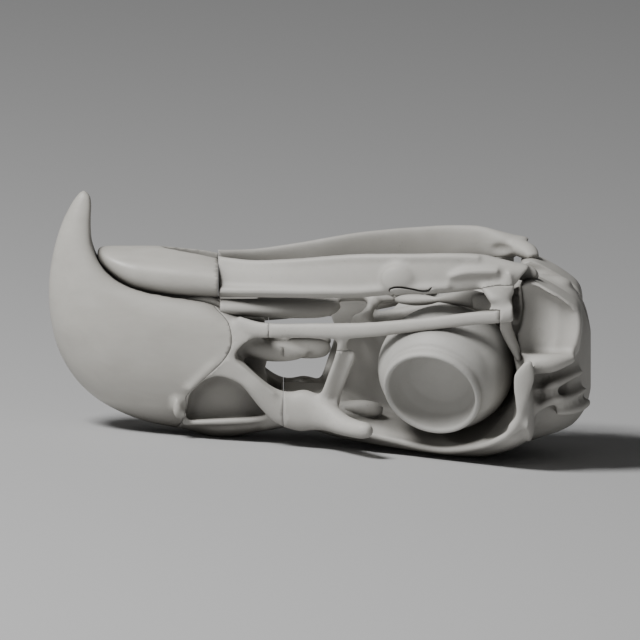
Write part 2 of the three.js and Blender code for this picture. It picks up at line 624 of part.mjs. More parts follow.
// A rounded bar beside the mid line with a keel, and a foot on the rostrum behind a notch.
const palatine = join(
  limb(
    [
      [-22.8, -8.4, 33.6, 2.4, 1.6], [-16, -8.4, 33.4, 3.0, 2.1], [-8, -8.5, 33.3, 3.3, 2.3],
      [-1, -8.5, 33.2, 3.3, 2.2], [2.6, -8.2, 33.5, 2.6, 1.9], [4.6, -7.4, 34.0, 1.2, 1.1],
    ],
    { sides: 6 },
  ),
  limb(
    [
      [-14, -5.4, 34.6, 1.6, 1.2], [-4, -5.6, 35.0, 1.8, 1.6], [7, -5.4, 36.0, 1.5, 1.5],
      [17.2, -4.3, 34.5, 0.8, 0.9],
    ],
    { sides: 5 },
  ),
  limb(
    [
      [10.4, -6.2, 28.8, 3.2, 1.2], [10.6, -6.6, 30.6, 2.9, 1.2], [11.6, -6.8, 32.6, 2.1, 1.2],
      [12.5, -6.8, 34.2, 1.6, 1.1], [12.9, -6.4, 35.8, 1.4, 1.0],
    ],
    { sides: 6 },
  ),
  limb([[10.4, -6.2, 29.4, 1.6, 1.6], [10.4, -1.4, 27.4, 1.2, 1.2]], { sides: 5 }),
);

// ---- fit the bones to each other, then set the skull on its roof ----
const parts = {
  upper_beak: [upperBeak, HORN],
  face: [face, BONE],
  cranium: [cranium, BONE],
  lower_beak: [lowerBeak, HORN],
};
const lacrimalFitted = largest(clearOf(lacrimal, cranium, jugal));
const palatineFitted = largest(clearOf(palatine, face, upperBeak, cranium));
const quadrateFitted = largest(clearOf(quadrate, cranium, jugal));
const pterygoidFitted = largest(clearOf(pterygoid, cranium, quadrateFitted, palatineFitted));
const ramusFitted = largest(clearOf(ramus, cranium));
const eyeFitted = largest(clearOf(eye, jugal));
const pairs = {
  lacrimal: [lacrimalFitted, BONE],
  jugal: [jugal, BONE],
  palatine: [palatineFitted, BONE],
  pterygoid: [pterygoidFitted, BONE],
  quadrate: [quadrateFitted, BONE],
  jaw_ramus: [ramusFitted, BONE],
  eye_ring: [eyeFitted, SCLERA],
};

const skull = new THREE.Group();
const lying = new THREE.Matrix4()
  .makeTranslation(LENGTH_SHIFT, 0, REST_LIFT)
  .multiply(new THREE.Matrix4().makeRotationY(THREE.MathUtils.degToRad(REST_TILT)));
const table = box([-100, -60, -40], [100, 60, 0]);
function add(name, body, material) {
  const mesh = new THREE.Mesh(geometryOf(moved(body, lying).subtract(table)), material);
  mesh.name = name;
  skull.add(mesh);
}
for (const [name, [body, material]] of Object.entries(parts)) add(name, body, material);
for (const [name, [body, material]] of Object.entries(pairs)) {
  add(`${name}_right`, body, material);
  add(`${name}_left`, mirrored(body), material);
}
export default skull;
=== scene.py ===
"""Eagle skull with horn beak sheaths and bony eye rings, lying on its roof on a pale table.

Every bone is shaped in millimetres in the skull's own frame: the beak points along -X, the throat
faces +Z and the skull is the same on both sides of the plane y = 0, with its right side at -Y. The
whole skull is then tipped onto its roof, as the CAD frame holds it.
"""
import math

import bmesh
import bpy
from mathutils import Matrix, Vector


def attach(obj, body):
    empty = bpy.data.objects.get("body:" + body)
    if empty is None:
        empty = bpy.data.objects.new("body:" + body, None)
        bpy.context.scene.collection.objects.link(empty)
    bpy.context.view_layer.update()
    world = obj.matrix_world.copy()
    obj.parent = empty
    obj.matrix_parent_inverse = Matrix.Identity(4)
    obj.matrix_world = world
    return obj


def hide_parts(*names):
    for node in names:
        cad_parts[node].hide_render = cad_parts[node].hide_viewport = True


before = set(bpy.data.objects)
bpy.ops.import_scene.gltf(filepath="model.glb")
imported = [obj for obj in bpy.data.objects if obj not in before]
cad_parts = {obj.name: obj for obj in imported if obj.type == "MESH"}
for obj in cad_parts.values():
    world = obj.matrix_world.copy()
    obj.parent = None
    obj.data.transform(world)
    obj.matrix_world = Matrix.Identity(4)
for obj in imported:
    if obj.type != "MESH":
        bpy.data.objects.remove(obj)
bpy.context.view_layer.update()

# ---- the frame the bones are shaped in ----
REST_TILT = math.radians(-3.8)
REST_LIFT = -0.96
LENGTH_SHIFT = 1.6
LYING = Matrix.Translation((LENGTH_SHIFT, 0, REST_LIFT)) @ Matrix.Rotation(REST_TILT, 4, "Y")
METRES = Matrix.Scale(0.001, 4)

# ---- sizes in millimetres ----
SEAM = 0.04  # half the width of a suture
FINE = 0.42  # grid that the fused bones are resolved on
KEPT_FACES = 0.5
SPIN_STEPS = 96  # facets round the lip of the eye
SEPTUM = 1.0  # half thickness of the plate between the eyes
NASAL_WALL = 5.4  # half thickness of the filled wall between the nostrils
VOMER = 0.6  # half thickness of the upright plate between the palatines
EYE_CENTRE = Vector((29.3, -15.6, 20.5))
EYE_RADII = (15.75, 13.45, 14.6)
IRIS_CENTRE = Vector((26.1, -24.3, 15.9))
IRIS_AXIS = Vector((-0.2575, -0.833, -0.489)).normalized()
SUTURE_X = -8.2  # between the nasal bone and the lacrimal
PILLAR_TOP = 24.8
JUGAL_FRONT_X = -11.6
JUGAL_BACK_X = 41.7
LOWER_SHEATH_X = -23.3
WINDOW_WALL = 4.5  # half thickness of the wall behind the window before the eye
SOCKET_SLACK = 1.0  # room round the eye ring in the bare braincase
RIM_SLACK = 0.4  # room round it under the rim and beside the plate between the eyes
EYE_GAP = 0.3  # room round it in the finished skull

# ---- finish, view and light ----
# painted shade: reach, strength and tint of the darkening painted into the creases and hollows of bone and
# horn
PAINTED_SHADE_REACH = 0.007  # metres
PAINTED_SHADE_STRENGTH = 0.92
PAINTED_SHADE_TINT = (0.16, 0.15, 0.14)
PIT_TINT = (0.6, 0.56, 0.5)
AMBIENT = 0.08
LIT_POINT = Vector((0, 0, 0.03))  # metres
VIEW_CENTRE = Vector((0.23, 0, 29.34))  # millimetres in the skull's own frame
VIEW_DISTANCE = 600  # millimetres
VIEW_ELEVATION = math.radians(8)
VIEW_WIDTH = 0.1476  # metres


# ---- shaping tools ----
def between(rows, at):
    """The row of numbers at a place along a smooth curve through all rows."""
    last = len(rows) - 1
    i = min(int(at), last - 1)
    t = at - i
    a, b, c, d = (rows[min(max(k, 0), last)] for k in (i - 1, i, i + 1, i + 2))
    return [
        q + 0.5 * t * (r - p + t * (2 * p - 5 * q + 4 * r - s + t * (3 * (q - r) + s - p)))
        for p, q, r, s in zip(a, b, c, d)
    ]


def as_object(bm, name="bone"):
    bmesh.ops.recalc_face_normals(bm, faces=bm.faces)
    mesh = bpy.data.meshes.new(name)
    bm.to_mesh(mesh)
    bm.free()
    made = bpy.data.objects.new(name, mesh)
    bpy.context.scene.collection.objects.link(made)
    return made


def loft(rings, sides=32, finer=4, upper=1, lower=1, egg=0, lift=1):
    """A closed body through rings of (centre, across, deep). The section is an ellipse squared off by
    the powers upper and lower; egg widens its upper half and lift heightens it."""
    rows = [(*centre, *across, *deep) for centre, across, deep in rings]
    bm = bmesh.new()
    loop = bmesh.ops.create_circle(bm, cap_ends=True, radius=1, segments=sides)["verts"]
    turn = {v: math.atan2(v.co.y, v.co.x) for v in loop}
    edges = list(bm.edges)
    for step in range((len(rows) - 1) * finer + 1):
        if step:
            drawn = bmesh.ops.extrude_edge_only(bm, edges=edges)["geom"]
            loop = [g for g in drawn if isinstance(g, bmesh.types.BMVert)]
            fresh = {}
            for v in loop:
                neighbours = (e.other_vert(v) for e in v.link_edges)
                fresh[v] = next(turn[other] for other in neighbours if other in turn)
            turn.update(fresh)
            drawn_edges = [g for g in drawn if isinstance(g, bmesh.types.BMEdge)]
            edges = [e for e in drawn_edges if all(v in fresh for v in e.verts)]
        row = between(rows, step / finer)
        centre, across, deep = Vector(row[:3]), Vector(row[3:6]), Vector(row[6:])
        for v in loop:
            wide, high = math.cos(turn[v]), math.sin(turn[v])
            power = upper if high > 0 else lower
            wide = math.copysign(abs(wide) ** power, wide) * (1 + egg * high)
            v.co = centre + across * wide + deep * (high * lift if high > 0 else high)
    bmesh.ops.contextual_create(bm, geom=edges)
    return as_object(bm)


def limb(stations, **options):
    """A limb along a path of (x, y, z, half width, half height)."""
    path = [Vector(s[:3]) for s in stations]
    rings = []
    for i, (*_, width, height) in enumerate(stations):
        ahead = (path[min(i + 1, len(path) - 1)] - path[max(i - 1, 0)]).normalized()
        side = Vector((0, 0, 1)).cross(ahead)
        if abs(ahead.z) > 0.9:
            side = ahead.cross(Vector((1, 0, 0)).cross(ahead))
        side.normalize()
        rings.append((path[i], side * width, ahead.cross(side) * height))
    return loft(rings, **options)


def hull(stations, **options):
    """A body along X with upright sections, from (x, low z, high z, half width)."""
    rings = [
        (Vector((x, 0, (low + high) / 2)), Vector((0, width, 0)), Vector((0, 0, (high - low) / 2)))
        for x, low, high, width in stations
    ]
    return loft(rings, **options)


def ball(centre, radii, turn=0, lean=0, roll=0, detail=4):
    bm = bmesh.new()
    matrix = (
        Matrix.Translation(centre)
        @ Matrix.Rotation(math.radians(turn), 4, "Z")
        @ Matrix.Rotation(math.radians(roll), 4, "Y")
        @ Matrix.Rotation(math.radians(lean), 4, "X")
        @ Matrix.Diagonal((*radii, 1))
    )
    bmesh.ops.create_icosphere(bm, subdivisions=detail, radius=1, matrix=matrix)
    return as_object(bm)


def block(low, high):
    bm = bmesh.new()
    size = Vector(high) - Vector(low)
    middle = (Vector(high) + Vector(low)) / 2
    bmesh.ops.create_cube(bm, size=1, matrix=Matrix.Translation(middle) @ Matrix.Diagonal((*size, 1)))
    return as_object(bm)


def slab(outline, start, end, finer=5, seen_from_below=False):
    """A plate with a closed outline of (x, z) between two values of y, or of (x, y) between two of z."""
    rows = [*outline, *outline, *outline]
    count = len(outline) * finer
    bm = bmesh.new()
    loop = bmesh.ops.create_circle(bm, cap_ends=True, radius=1, segments=count)["verts"]
    for i, v in enumerate(loop):
        x, other = between(rows, len(outline) + i / finer)
        v.co = (x, other, start) if seen_from_below else (x, start, other)
    raised = bmesh.ops.extrude_face_region(bm, geom=list(bm.faces))["geom"]
    lifted = [g for g in raised if isinstance(g, bmesh.types.BMVert)]
    rise = (0, 0, end - start) if seen_from_below else (0, end - start, 0)
    bmesh.ops.translate(bm, verts=lifted, vec=rise)
    bmesh.ops.triangulate(bm, faces=bm.faces)
    return as_object(bm)


def turned_shape(profile, axis, origin):
    """A solid of revolution from (radius, height) pairs, with its axis through origin."""
    bm = bmesh.new()
    verts = [bm.verts.new((radius, 0, height)) for radius, height in profile]
    edges = [bm.edges.new(pair) for pair in zip(verts, verts[1:])]
    bmesh.ops.spin(
        bm, geom=verts + edges, cent=(0, 0, 0), axis=(0, 0, 1),
        angle=math.tau, steps=SPIN_STEPS, use_merge=True,
    )
    bmesh.ops.remove_doubles(bm, verts=bm.verts, dist=1e-4)
    place = Matrix.Translation(origin) @ axis.to_track_quat("Z", "Y").to_matrix().to_4x4()
    bmesh.ops.transform(bm, matrix=place, verts=bm.verts)
    return as_object(bm)


def settle(body):
    """Applies the modifiers of a body to its mesh."""
    view = body.evaluated_get(bpy.context.evaluated_depsgraph_get())
    mesh = bpy.data.meshes.new_from_object(view)
    body.modifiers.clear()
    old, body.data = body.data, mesh
    bpy.data.meshes.remove(old)
    return body


def worked(operation, body, tools):
    """Joins, cuts or crosses a body with tools, which are used up."""
    for tool in tools:
        step = body.modifiers.new(operation.lower(), "BOOLEAN")
        step.operation = operation
        step.solver = "MANIFOLD"
        step.object = tool
    settle(body)
    discard(*tools)
    return body


def join(body, *tools):
    return worked("UNION", body, tools)


def cut(body, *tools):
    return worked("DIFFERENCE", body, tools)


def cross(body, tool):
    return worked("INTERSECT", body, [tool])


def discard(*bodies):
    for body in bodies:
        bpy.data.meshes.remove(body.data)


def copied(body):
    twin = body.copy()
    twin.data = body.data.copy()
    bpy.context.scene.collection.objects.link(twin)
    return twin


def mirrored(body):
    """The same body on the skull's other side."""
    twin = copied(body)
    bm = bmesh.new()
    bm.from_mesh(twin.data)
    bmesh.ops.scale(bm, vec=(1, -1, 1), verts=bm.verts)
    bmesh.ops.reverse_faces(bm, faces=bm.faces)
    bm.to_mesh(twin.data)
    bm.free()
    return twin


def both(*bodies):
    return [one for body in bodies for one in (body, mirrored(body))]


def fused(body, grid=FINE, rounds=5, fillet=0.7):
    """Melts a joined body into one smooth skin, with its inner corners filled to a small radius."""
    for shift in (fillet, -fillet):
        skin = body.modifiers.new("skin", "REMESH")
        skin.mode = "VOXEL"
        skin.voxel_size = grid
        soft = body.modifiers.new("soft", "SMOOTH")
        soft.factor = 0.5
        soft.iterations = rounds
        swell = body.modifiers.new("swell", "DISPLACE")
        swell.mid_level = 0
        swell.strength = shift
        settle(body)
    return body


def grown(body, by):
    """A copy of a body, thicker all round."""
    twin = copied(body)
    thick = twin.modifiers.new("thick", "DISPLACE")
    thick.mid_level = 0
    thick.strength = by
    return settle(twin)


def largest(body):
    """Drops the crumbs that a cut has left and keeps the largest piece."""
    bm = bmesh.new()
    bm.from_mesh(body.data)
    left = set(bm.verts)
    groups = []
    while left:
        seed = left.pop()
        group, edge = {seed}, [seed]
        while edge:
            v = edge.pop()
            for e in v.link_edges:
                other = e.other_vert(v)
                if other in left:
                    left.discard(other)
                    group.add(other)
                    edge.append(other)
        groups.append(group)
    groups.sort(key=len, reverse=True)
    crumbs = [v for group in groups[1:] for v in group]
    bmesh.ops.delete(bm, geom=crumbs, context="VERTS")
    bm.to_mesh(body.data)
    bm.free()
    return body


def finish_piece(body, name, nodes, material):
    """Lays a finished piece on the table, worn flat where it rests, and hands it to the frame."""
    fewer = body.modifiers.new("fewer", "DECIMATE")
    fewer.ratio = KEPT_FACES
    settle(body)
    bm = bmesh.new()
    bm.from_mesh(body.data)
    bmesh.ops.transform(bm, matrix=METRES @ LYING, verts=bm.verts)
    whole = [*bm.verts, *bm.edges, *bm.faces]
    worn = bmesh.ops.bisect_plane(bm, geom=whole, plane_co=(0, 0, 0), plane_no=(0, 0, 1), clear_inner=True)
    bmesh.ops.edgeloop_fill(bm, edges=[g for g in worn["geom_cut"] if isinstance(g, bmesh.types.BMEdge)])
    for face in bm.faces:
        face.smooth = True
    bm.to_mesh(body.data)
    bm.free()
    body.name = name
    body.data.name = name
    body.data.materials.clear()
    body.data.materials.append(material)
    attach(body, "root")
    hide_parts(*nodes)


# ---- shader maths ----
class Wire:
    """A shader value that can be used in Python expressions."""

    def __init__(self, tree, socket):
        self.tree = tree
        self.socket = socket

    def maths(self, operation, *others):
        node = self.tree.nodes.new("ShaderNodeMath")
        node.operation = operation
        for place, value in zip(node.inputs, (self, *others)):
            feed(self.tree, place, value)
        return Wire(self.tree, node.outputs[0])

    def __add__(self, other):
        return self.maths("ADD", other)

    def __mul__(self, other):
        return self.maths("MULTIPLY", other)

    def __sub__(self, other):
        return self.maths("SUBTRACT", other)


def feed(tree, place, value):
    if isinstance(value, Wire):
        tree.links.new(value.socket, place)
    else:
        place.default_value = value


class Finish:
    """A material under construction, with a method for each kind of node it needs."""

    def __init__(self, name):
        self.material = bpy.data.materials.new(name)
        self.material.use_nodes = True
        self.tree = self.material.node_tree
        self.tree.nodes.clear()
        self.shader = self.tree.nodes.new("ShaderNodeBsdfPrincipled")
        output = self.tree.nodes.new("ShaderNodeOutputMaterial")
        self.tree.links.new(self.shader.outputs[0], output.inputs["Surface"])

    def node(self, kind, output=0, settings=None, **inputs):
        made = self.tree.nodes.new(kind)
        for key, value in (settings or {}).items():
            if key == "stops":
                ramp = made.color_ramp
                for stop, (position, shade) in enumerate(value):
                    element = ramp.elements[stop] if stop < 2 else ramp.elements.new(position)
                    element.position = position
                    element.color = (shade, shade, shade, 1)
            else:
                setattr(made, key, value)
        for key, value in inputs.items():
            feed(self.tree, made.inputs[key.replace("_", " ")], value)
        return Wire(self.tree, made.outputs[output])

    def place(self):
        return self.node("ShaderNodeTexCoord", output="Object")

    def noise(self, where, scale, detail=3.0, roughness=0.5, distortion=0.0):
        return self.node(
            "ShaderNodeTexNoise",
            Vector=where, Scale=scale, Detail=detail, Roughness=roughness, Distortion=distortion,
        )

    def cells(self, where, scale):
        return self.node("ShaderNodeTexVoronoi", Vector=where, Scale=scale)

    def ramp(self, value, *stops):
        return self.node("ShaderNodeValToRGB", settings={"stops": stops}, Fac=value)

    def mix(self, amount, low, high):
        made = self.tree.nodes.new("ShaderNodeMix")
        made.data_type = "RGBA"
        feed(self.tree, made.inputs[0], amount)
        feed(self.tree, made.inputs[6], low)
        feed(self.tree, made.inputs[7], high)
        return Wire(self.tree, made.outputs[2])

    def exposure(self, reach):
        """How open a place lies: 1 on a free surface and less in creases and hollows, where shade falls."""
        return self.node("ShaderNodeAmbientOcclusion", output=1, settings={"samples": 6}, Distance=reach)

    def with_painted_shade(self, base, shade):
        """A colour with painted shade: darker in creases and hollows, where shade falls."""
        painted_shade_mask = self.ramp(self.exposure(PAINTED_SHADE_REACH), (0.25, 1.0), (0.95, 0.0))
        return self.mix(painted_shade_mask * PAINTED_SHADE_STRENGTH, base, tinted(shade, PAINTED_SHADE_TINT))

    def bump(self, height, strength, distance):
        return self.node("ShaderNodeBump", Height=height, Strength=strength, Distance=distance)

    def set(self, **inputs):
        for key, value in inputs.items():
            feed(self.tree, self.shader.inputs[key.replace("_", " ")], value)


def tinted(shade, tint):
    """A darker colour, from a shade and the part of its red, green and blue that is left."""
    return (*(light * part for light, part in zip(shade, tint)), 1)


def dry_bone(name, pale, shade, grain=1.0):
    """Cleaned bone: fine pores, faint mottling, a soft grain along the shafts and painted shade in creases
    and hollows.
    """
    finish = Finish(name)
    where = finish.place()
    mottle = finish.noise(where, 60, detail=4, roughness=0.6)
    blotch = finish.noise(where, 180, detail=5, roughness=0.65, distortion=0.3)
    pores = finish.ramp(finish.cells(where, 900), (0.05, 1.0), (0.2, 0.0))
    sparse = finish.ramp(finish.noise(where, 140, detail=2), (0.5, 0.0), (0.7, 1.0))
    pits = pores * sparse
    tone = finish.ramp(mottle * 0.6 + blotch * 0.4, (0.3, 0.0), (0.7, 1.0))
    base = finish.mix(tone, shade, pale)
    base = finish.mix(pits * 0.35, base, tinted(shade, PIT_TINT))
    grain_height = finish.noise(where, 1400, detail=3, roughness=0.6)
    height = blotch * 0.5 + grain_height * 0.18 * grain - pits * 0.5
    finish.set(
        # painted shade: the colour is darkened in creases and hollows
        Base_Color=finish.with_painted_shade(base, shade),
        Roughness=finish.ramp(blotch, (0.25, 0.5), (0.75, 0.68)),
        Normal=finish.bump(height, 0.35, 0.00025),
    )
    return finish.material


def horn_sheath(name, pale, shade):
    """Dried horn: smooth, faintly lined along its growth, a little glossier than the bone, with painted
    shade in creases and hollows.
    """
    finish = Finish(name)
    where = finish.place()
    flow = finish.node("ShaderNodeMapping", Vector=where, Scale=(0.35, 1.0, 1.0))
    streaks = finish.noise(flow, 260, detail=4, roughness=0.6, distortion=0.4)
    mottle = finish.noise(where, 55, detail=4, roughness=0.6)
    scuffs = finish.ramp(finish.noise(where, 420, detail=3, distortion=0.6), (0.55, 0.0), (0.75, 1.0))
    tone = finish.ramp(streaks * 0.5 + mottle * 0.5, (0.3, 0.0), (0.7, 1.0))
    base = finish.mix(tone, shade, pale)
    finish.set(
        # painted shade: the colour is darkened in creases and hollows
        Base_Color=finish.with_painted_shade(base, shade),
        Roughness=finish.ramp(streaks, (0.3, 0.38), (0.7, 0.5)) + scuffs * 0.12,
        Normal=finish.bump(streaks * 0.6 + scuffs * 0.25, 0.22, 0.0002),
    )
    return finish.material


# ---- muzzle: upper beak and face ----
# Ribs from the hook's point back to the brow: (edge x, edge z, ridge x, ridge z, half width).
MUZZLE_RIBS = [
    (-54.2, 59.7, -54.4, 59.6, 0.35),
    (-52.9, 58.4, -55.5, 58.8, 1.3),
    (-52.5, 56.3, -57.1, 56.5, 2.1),
    (-52.6, 53.8, -59.3, 52.0, 3.0),
    (-52.6, 50.6, -61.2, 45.6, 4.1),
    (-52.3, 47.6, -62.3, 38.2, 5.3),
    (-51.2, 44.6, -62.0, 30.3, 6.8),
    (-49.4, 42.2, -60.2, 22.8, 8.2),
    (-46.8, 40.3, -56.8, 16.6, 9.4),
    (-43.1, 38.9, -52.2, 11.8, 10.5),
    (-38.5, 37.9, -46.4, 8.3, 11.3),
    (-32.5, 37.0, -39.4, 5.7, 12.0),
    (-26.3, 36.0, -30.5, 3.9, 12.6),
    (-22.4, 34.4, -24.0, 2.1, 13.2),
    (-18.2, 32.2, -18.2, 2.5, 14.0),
    (-14.0, 30.9, -14.0, 3.4, 14.6),
    (-3.0, 31.0, -3.0, 5.2, 16.4),
]
MOUTH = [
    (-51.6, 42.4, 52, 3.0),
    (-49.5, 40.2, 52, 5.4),
    (-46.0, 37.6, 52, 7.8),
    (-41.0, 35.4, 52, 9.4),
    (-34.0, 34.0, 52, 10.4),
    (-26.3, 33.2, 52, 11.2),
    (-21.0, 31.6, 52, 12.2),
    (-14.0, 30.0, 52, 12.9),
    (-2.0, 29.6, 52, 13.8),
]
SHEATH_BACK = [
    (-34.2, 0), (-31.9, 6), (-30.7, 10), (-30.4, 13.4), (-27.4, 16.6), (-22.3, 21.5),
    (-20.2, 25.5), (-21.0, 30.5), (-24.5, 34.5), (-25.5, 40),
]
NOSTRIL = [
    (-31.4, 6.2), (-30.4, 10.0), (-29.8, 13.4), (-27.6, 16.2), (-25.1, 17.6), (-23.1, 18.0),
    (-20.5, 17.4), (-17.6, 15.9), (-15.1, 13.8), (-13.1, 11.7), (-11.6, 9.4), (-11.2, 7.2),
    (-14.5, 6.0), (-21, 5.4), (-27, 5.6),
]
ANTORBITAL = [
    (-19.4, 22.4), (-18.2, 24.8), (-15.9, 26.5), (-13.1, 27.3), (-6, 27.4), (6, 27.2), (8, 20), (6, 12),
    (-2, 12.5), (-7.0, 13.6), (-10.1, 14.3), (-13.1, 16.7), (-16.4, 19.6),
]
ANTORBITAL_INSIDE = [
    (-12.2, 16.5), (-11.6, 20.2), (-4, 20.8), (4, 20.8), (6, 12), (-2, 11.5), (-7, 12), (-10.4, 13.4),
]


def muzzle_body():
    rings = []
    for edge_x, edge_z, ridge_x, ridge_z, width in MUZZLE_RIBS:
        edge = Vector((edge_x, 0, edge_z))
        ridge = Vector((ridge_x, 0, ridge_z))
        rings.append(((edge + ridge) / 2, Vector((0, width, 0)), (edge - ridge) / 2))
    return loft(rings, sides=48, finer=5, upper=0.42, lower=0.9, egg=0.14)


def brow():
    """The strut behind the nostril and the lacrimal, out to the spur over the eye."""
    return limb(
        [
            (-20.5, -11.2, 21.6, 1.8, 2.0), (-15.6, -12.4, 16.6, 2.2, 2.2), (-12.0, -11.9, 13.0, 2.4, 2.9),
            (-8.4, -11.6, 10.6, 2.4, 4.0), (-4.2, -11.9, 9.9, 2.4, 4.9), (-0.6, -12.6, 9.6, 2.5, 4.3),
            (2.6, -14.4, 8.6, 2.6, 3.3), (5.4, -17.4, 7.4, 2.5, 2.5), (8.6, -21.2, 6.9, 2.3, 2.1),
            (10.6, -23.6, 6.9, 2.1, 2.0), (11.9, -24.9, 6.9, 1.1, 1.2),
        ],
        sides=28,
    )


def pillar():
    """The lacrimal's pillar down to the jugal bar: two strips with a groove between them."""
    front = [
        (0.2, -12.6, 11.0, 1.4, 1.2), (1.6, -13.8, 14.6, 1.05, 0.95), (3.3, -15.8, 19.6, 0.95, 0.9),
        (4.9, -17.8, 24.4, 1.1, 0.95), (5.8, -19.2, 28.6, 1.3, 1.0),
    ]
    rear = [
        (3.6, -12.4, 11.4, 1.3, 1.1), (4.6, -13.6, 14.8, 0.9, 0.9), (6.3, -15.6, 19.4, 0.85, 0.85),
        (7.7, -17.5, 23.2, 0.9, 0.85), (7.8, -18.0, 24.8, 0.5, 0.5),
    ]
    web = [(2.2, -12.8, 12.0, 1.4, 0.8), (4.9, -15.4, 19.4, 1.4, 0.5), (6.3, -17.4, 24.2, 1.2, 0.5)]
    return [limb(path, sides=20) for path in (front, rear, web)]


JUGAL = [
    (-19.0, -11.6, 29.8, 1.1, 2.4), (-14.2, -13.4, 29.0, 1.1, 2.0), (-9, -15.2, 29.0, 1.1, 1.8),
    (-4.4, -16.3, 29.2, 1.1, 1.8), (4.8, -19.3, 29.5, 1.15, 2.0), (9.5, -20.9, 29.9, 1.15, 1.9),
    (14.1, -22.4, 30.4, 1.1, 1.85), (18.7, -23.8, 31.1, 1.1, 1.75), (25.6, -25.8, 32.1, 1.05, 1.65),
    (30.2, -26.7, 32.8, 1.05, 1.65), (36.0, -27.4, 33.6, 1.1, 1.65), (41.6, -27.9, 34.1, 1.2, 1.7),
    (45.4, -27.6, 35.0, 1.5, 2.1),
]


def jugal_bar():
    return limb(JUGAL, sides=24)


def palate_lobes():
    """Two leaves of the palate, one behind the other, that show in the window before the eye."""
    front = limb(
        [
            (-19.2, -7.5, 25.1, 2.4, 2.0), (-16.5, -7.5, 24.3, 2.3, 2.1), (-12, -7.7, 23.3, 2.2, 2.5),
            (-7, -8.0, 23.2, 1.9, 2.4), (-3.8, -8.2, 22.9, 1.0, 1.4), (-2.3, -8.2, 22.8, 0.4, 0.4),
        ],
        sides=24,
    )
    rear = limb(
        [
            (-7, -5.9, 23.8, 1.8, 2.3), (-2, -6.0, 23.6, 1.8, 2.5), (1.2, -6.1, 23.7, 1.4, 2.1),
            (2.8, -6.2, 24.1, 0.5, 0.9),
        ],
        sides=24,
    )
    return [front, rear]


def nostril_ledge():
    return limb(
        [
            (-31.4, -7.2, 6.4, 0.9, 0.7), (-27, -8.3, 6.7, 1.2, 0.8), (-22, -8.6, 6.9, 1.3, 0.85),
            (-16.5, -8.7, 7.2, 1.2, 0.85), (-11.6, -8.9, 7.9, 1.0, 0.8),
        ],
        sides=20,
    )


def sheath_lumps():
    """The swollen end of the horn in front of the nostril, as two lumps, and the fold above it."""
    fold = limb(
        [
            (-30.2, -11.2, 14.6, 0.9, 0.9), (-26.7, -12.0, 18.3, 1.1, 1.1), (-24.0, -12.5, 20.8, 1.2, 1.2),
            (-21.2, -12.7, 23.2, 0.9, 0.9),
        ],
        sides=20,
    )
    return [
        fold,
        ball((-32.6, -10.0, 10.4), (1.2, 1.6, 2.7), turn=-12, detail=3),
        ball((-31.4, -9.6, 8.6), (0.9, 1.3, 1.0), detail=3),
    ]


# ---- cranium ----
# Forehead sections: (x, roof z, rim z, half width), the rim being where it is widest.
FOREHEAD = [
    (-9.0, 4.9, 8.4, 9.2), (-3.0, 4.4, 8.0, 9.4), (2.0, 3.1, 7.0, 10.8), (7.0, 1.8, 5.4, 11.8),
    (12.0, 1.1, 4.0, 12.8), (18.7, 0.0, 2.7, 13.8), (24.4, -0.7, 1.9, 15.4), (30.2, -1.4, 1.8, 17.6),
    (37.1, -1.5, 3.2, 21.4), (42.0, -0.5, 5.2, 24.6), (46.0, 1.0, 7.6, 26.0), (49.0, 3.0, 9.0, 23.0),
]
BRAINCASE = [
    (34.0, 3.0, 24.0, 9.0), (38.0, -1.0, 31.0, 14.5), (42.0, -0.6, 36.0, 19.0), (46.4, 0.8, 39.0, 22.0),
    (51.0, 2.4, 39.8, 22.6), (55.6, 3.9, 38.6, 20.8), (59.0, 5.8, 36.4, 17.0), (61.6, 9.4, 32.4, 11.6),
    (62.7, 13.5, 27.0, 6.0),
]
EAR_OUTLINE = [
    (46.6, 40.6), (49.2, 41.6), (53.0, 39.9), (56.5, 37.8), (59.8, 35.2), (60.8, 32.0),
    (60.5, 28.4), (59.6, 24.6), (56.0, 22.6), (50.0, 21.8), (46.0, 26.0), (45.8, 36.0),
]
RIM = [
    (10.6, -12.8, 4.6), (15.2, -13.3, 3.6), (18.7, -13.9, 2.9), (24.4, -15.5, 1.8), (30.2, -17.8, 1.5),
    (37.1, -21.6, 2.9), (41.7, -25.0, 5.0), (44.6, -27.2, 7.4), (46.2, -28.4, 10.6),
]


def forehead():
    rings = [
        (Vector((x, 0, rim)), Vector((0, width, 0)), Vector((0, 0, rim - roof)))
        for x, roof, rim, width in FOREHEAD
    ]
    return loft(rings, sides=44, upper=1.6, lower=0.85, lift=1.9)


def nasal_roof():
    return hull([(-13, 3.8, 8.8, 8.0), (-10.0, 4.5, 11.0, 9.4), (-5.4, 4.8, 12.4, 9.4)], lower=0.8)


def postorbital():
    """The rim over the eye with the blade behind the eye, and the wall it grows from."""
    rim = limb([(*place, 1.0, 0.95) for place in RIM], sides=20)
    blade = limb(
        [
            (44.8, -26.6, 7.6, 1.6, 1.6), (46.3, -28.2, 10.4, 1.2, 1.2), (46.7, -28.9, 13.4, 1.4, 0.95),
            (46.9, -29.3, 17.0, 2.1, 0.9), (47.4, -29.7, 20.2, 2.5, 0.95), (48.2, -30.1, 22.8, 1.5, 0.85),
            (48.7, -30.3, 24.2, 0.6, 0.6),
        ],
        sides=24,
    )
    web = limb(
        [(48.4, -17, 12, 1.8, 9.0), (48.4, -23, 13.4, 1.2, 7.6), (47.9, -28.2, 14.2, 0.8, 6.4)],
        sides=24,
    )
    return [rim, blade, web]


def ear_wing():
    wing = slab(EAR_OUTLINE, -26, -10)
    return cross(wing, ball((50.6, -14.0, 31.0), (13.8, 12.6, 15.2)))


